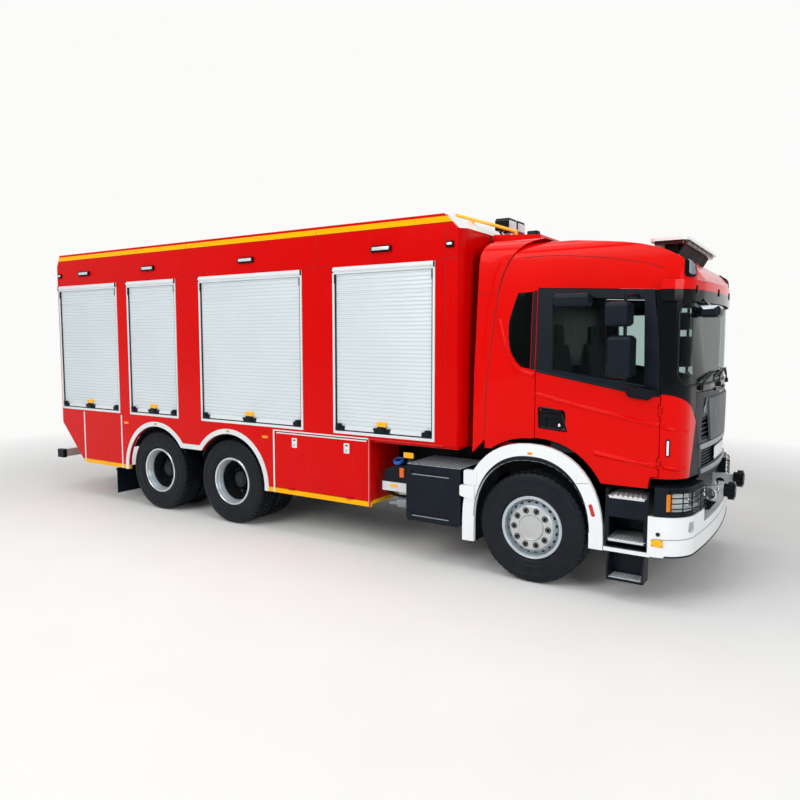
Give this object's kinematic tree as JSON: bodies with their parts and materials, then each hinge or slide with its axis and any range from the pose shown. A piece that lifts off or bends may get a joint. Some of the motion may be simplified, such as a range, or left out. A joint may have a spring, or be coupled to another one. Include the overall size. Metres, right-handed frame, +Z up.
{
  "type": "airport fire truck",
  "caption": "Cab-over airport fire truck with shuttered equipment body, tandem rear axle, steered front wheels, opening cab doors, fold-down step flaps, front hatch and light mast.",
  "frame": {"origin": "on the ground under the middle of the truck's overall length and width", "axes": "+X forward along the truck, +Y to its left, +Z up"},
  "size_m": [9.227, 3, 3.598],
  "materials": {
    "chassis_black": "satin",
    "cast_grey": "matte",
    "cab_red": "gloss",
    "body_red": "gloss",
    "black_plastic": "matte",
    "white_paint": "gloss",
    "aluminium": "satin",
    "shutter_alu": "anodised",
    "yellow_paint": "gloss",
    "window_glass": "clear",
    "lamp_lens": "clear",
    "dark_red_plastic": "gloss",
    "seat_fabric": "woven",
    "soft_black": "grained",
    "wheel_silver": "satin",
    "tyre_rubber": "matte"
  },
  "bodies": {
    "truck": {"chassis_frame": "chassis_black", "engine_block": "cast_grey", "front_axle": "chassis_black", "rear_axles": "chassis_black", "side_tanks": "black_plastic", "cab_shell": "cab_red", "windscreen_frame": "black_plastic", "cab_glass": "window_glass", "cab_fairing": "cab_red", "dashboard": "soft_black", "seats": "seat_fabric", "bumper": "white_paint", "headlamps": "black_plastic", "horn_arms": "aluminium", "boarding_steps": "black_plastic", "step_treads": "aluminium", "front_fenders": "white_paint", "mudguards": "black_plastic", "sun_visor": "dark_red_plastic", "light_bar": "white_paint", "body_sides": "body_red", "body_ends": "body_red", "body_roof": "aluminium", "body_floor_pan": "aluminium", "shutters": "shutter_alu", "body_trims": "aluminium", "underrun_bar": "aluminium", "rear_ladder": "aluminium", "roof_rails": "yellow_paint", "body_lamps": "lamp_lens", "mast_tube": "aluminium"},
    "mast": {"mast_head": "aluminium"},
    "right_door": {"door_right": "cab_red", "door_frame_right": "black_plastic", "door_glass_right": "window_glass"},
    "left_door": {"door_left": "cab_red", "door_frame_left": "black_plastic", "door_glass_left": "window_glass"},
    "hatch": {"grille_hatch": "black_plastic"},
    "right_flap": {"step_flap_right": "body_red"},
    "left_flap": {"step_flap_left": "body_red"},
    "right_knuckle": {"knuckle_right": "cast_grey"},
    "left_knuckle": {"knuckle_left": "cast_grey"},
    "track_rod": {"tie_rod": "cast_grey"},
    "wheel_front_right": {"front_rim_right": "wheel_silver", "front_tyre_right": "tyre_rubber"},
    "wheel_front_left": {"front_rim_left": "wheel_silver", "front_tyre_left": "tyre_rubber"},
    "wheel_rear1_right": {"rear1_rims_right": "wheel_silver", "rear1_tyres_right": "tyre_rubber"},
    "wheel_rear1_left": {"rear1_rims_left": "wheel_silver", "rear1_tyres_left": "tyre_rubber"},
    "wheel_rear2_right": {"rear2_rims_right": "wheel_silver", "rear2_tyres_right": "tyre_rubber"},
    "wheel_rear2_left": {"rear2_rims_left": "wheel_silver", "rear2_tyres_left": "tyre_rubber"}
  },
  "joints": [
    {"name": "steer_left", "type": "hinge", "parent": "truck", "child": "left_knuckle", "pos_m": [3.0085, 0.985, 0.525], "axis": [0, 0, 1], "range_deg": [-36, 36]},
    {"name": "steer_right", "type": "hinge", "parent": "truck", "child": "right_knuckle", "pos_m": [3.0085, -0.985, 0.525], "axis": [0, 0, 1], "range_deg": [-36, 36]},
    {"name": "track_rod_pivot", "type": "hinge", "parent": "left_knuckle", "child": "track_rod", "pos_m": [2.8235, 0.985, 0.412], "axis": [0, 0, 1], "range_deg": [-36, 36]},
    {"name": "spin_front_left", "type": "hinge", "parent": "left_knuckle", "child": "wheel_front_left", "pos_m": [3.0085, 1.077, 0.525], "axis": [0, 1, 0], "continuous": true},
    {"name": "spin_front_right", "type": "hinge", "parent": "right_knuckle", "child": "wheel_front_right", "pos_m": [3.0085, -1.077, 0.525], "axis": [0, 1, 0], "continuous": true},
    {"name": "spin_rear1_left", "type": "hinge", "parent": "truck", "child": "wheel_rear1_left", "pos_m": [-0.9215, 0.9, 0.525], "axis": [0, 1, 0], "continuous": true},
    {"name": "spin_rear1_right", "type": "hinge", "parent": "truck", "child": "wheel_rear1_right", "pos_m": [-0.9215, -0.9, 0.525], "axis": [0, 1, 0], "continuous": true},
    {"name": "spin_rear2_left", "type": "hinge", "parent": "truck", "child": "wheel_rear2_left", "pos_m": [-2.2765, 0.9, 0.525], "axis": [0, 1, 0], "continuous": true},
    {"name": "spin_rear2_right", "type": "hinge", "parent": "truck", "child": "wheel_rear2_right", "pos_m": [-2.2765, -0.9, 0.525], "axis": [0, 1, 0], "continuous": true},
    {"name": "right_door_hinge", "type": "hinge", "parent": "truck", "child": "right_door", "pos_m": [4.117, -1.16, 1.5], "axis": [0, 0, 1], "range_deg": [0, 70]},
    {"name": "left_door_hinge", "type": "hinge", "parent": "truck", "child": "left_door", "pos_m": [4.117, 1.16, 1.5], "axis": [0, 0, -1], "range_deg": [0, 70]},
    {"name": "hatch_hinge", "type": "hinge", "parent": "truck", "child": "hatch", "pos_m": [4.4125, 0, 1.8265], "axis": [0, -1, 0], "range_deg": [0, 80]},
    {"name": "right_flap_hinge", "type": "hinge", "parent": "truck", "child": "right_flap", "pos_m": [0.5085, -1.25, 0.5465], "axis": [1, 0, 0], "range_deg": [0, 90]},
    {"name": "left_flap_hinge", "type": "hinge", "parent": "truck", "child": "left_flap", "pos_m": [0.5085, 1.25, 0.5465], "axis": [-1, 0, 0], "range_deg": [0, 90]},
    {"name": "mast_lift", "type": "slide", "parent": "truck", "child": "mast", "axis": [0, 0, 1], "range_m": [0, 1.2]}
  ],
  "couplings": [
    {"joint": "steer_right", "follows": "steer_left", "ratio": 1},
    {"joint": "track_rod_pivot", "follows": "steer_left", "ratio": -1}
  ]
}
